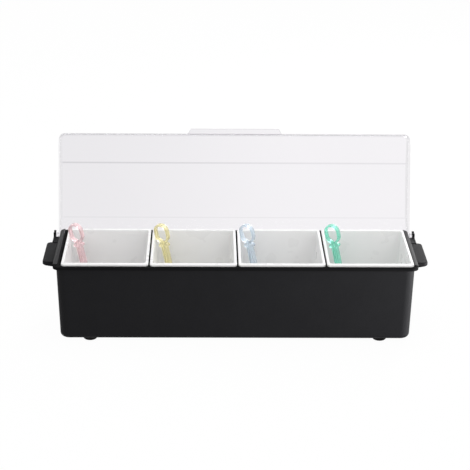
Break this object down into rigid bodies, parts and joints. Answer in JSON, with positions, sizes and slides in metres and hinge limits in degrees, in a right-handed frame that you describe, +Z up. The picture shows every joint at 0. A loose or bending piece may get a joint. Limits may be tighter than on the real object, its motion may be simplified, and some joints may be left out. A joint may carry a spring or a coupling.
{
  "type": "condiment caddy",
  "caption": "Long black tub for ice with side handles and rubber feet, lift-out white trays in a row, a clear shallow-box lid hinged at the back, and small coloured tongs.",
  "frame": {"origin": "centre of the tub's flat underside; the feet reach 5.5 mm below it", "axes": "+X along the caddy from left to right seen from the front, +Y from the front to the hinge side, +Z up"},
  "size_m": [0.487, 0.189, 0.2345],
  "materials": {
    "tub_plastic": "black moulded plastic with a fine grained texture",
    "foot_rubber": "black rubber",
    "tray_plastic": "white moulded plastic, smooth",
    "lid_clear": "clear moulded plastic sheet, polished",
    "tongs_pink": "translucent pink plastic",
    "tongs_yellow": "translucent yellow plastic",
    "tongs_blue": "translucent light blue plastic",
    "tongs_green": "translucent sea green plastic"
  },
  "bodies": {
    "base": {"tub": "tub_plastic", "foot_front_left": "foot_rubber", "foot_front_right": "foot_rubber", "foot_rear_left": "foot_rubber", "foot_rear_right": "foot_rubber"},
    "lid_body": {"lid": "lid_clear"},
    "tray_1_body": {"tray_1": "tray_plastic"},
    "tray_2_body": {"tray_2": "tray_plastic"},
    "tray_3_body": {"tray_3": "tray_plastic"},
    "tray_4_body": {"tray_4": "tray_plastic"},
    "tongs_pink_body": {"tongs_pink": "tongs_pink"},
    "tongs_yellow_body": {"tongs_yellow": "tongs_yellow"},
    "tongs_blue_body": {"tongs_blue": "tongs_blue"},
    "tongs_green_body": {"tongs_green": "tongs_green"}
  },
  "joints": [
    {"name": "lid_hinge", "type": "hinge", "parent": "base", "child": "lid_body", "pos_m": [0, 0.062, 0.0953], "axis": [-1, 0, 0], "range_deg": [-105, 0]},
    {"name": "tray_1_lift", "type": "slide", "parent": "base", "child": "tray_1_body", "axis": [0, 0, 1], "range_m": [0, 0.09]},
    {"name": "tray_2_lift", "type": "slide", "parent": "base", "child": "tray_2_body", "axis": [0, 0, 1], "range_m": [0, 0.09]},
    {"name": "tray_3_lift", "type": "slide", "parent": "base", "child": "tray_3_body", "axis": [0, 0, 1], "range_m": [0, 0.09]},
    {"name": "tray_4_lift", "type": "slide", "parent": "base", "child": "tray_4_body", "axis": [0, 0, 1], "range_m": [0, 0.09]},
    {"name": "tongs_pink_lift", "type": "slide", "parent": "tray_1_body", "child": "tongs_pink_body", "axis": [0, 0, 1], "range_m": [0, 0.09]},
    {"name": "tongs_yellow_lift", "type": "slide", "parent": "tray_2_body", "child": "tongs_yellow_body", "axis": [0, 0, 1], "range_m": [0, 0.09]},
    {"name": "tongs_blue_lift", "type": "slide", "parent": "tray_3_body", "child": "tongs_blue_body", "axis": [0, 0, 1], "range_m": [0, 0.09]},
    {"name": "tongs_green_lift", "type": "slide", "parent": "tray_4_body", "child": "tongs_green_body", "axis": [0, 0, 1], "range_m": [0, 0.09]}
  ]
}
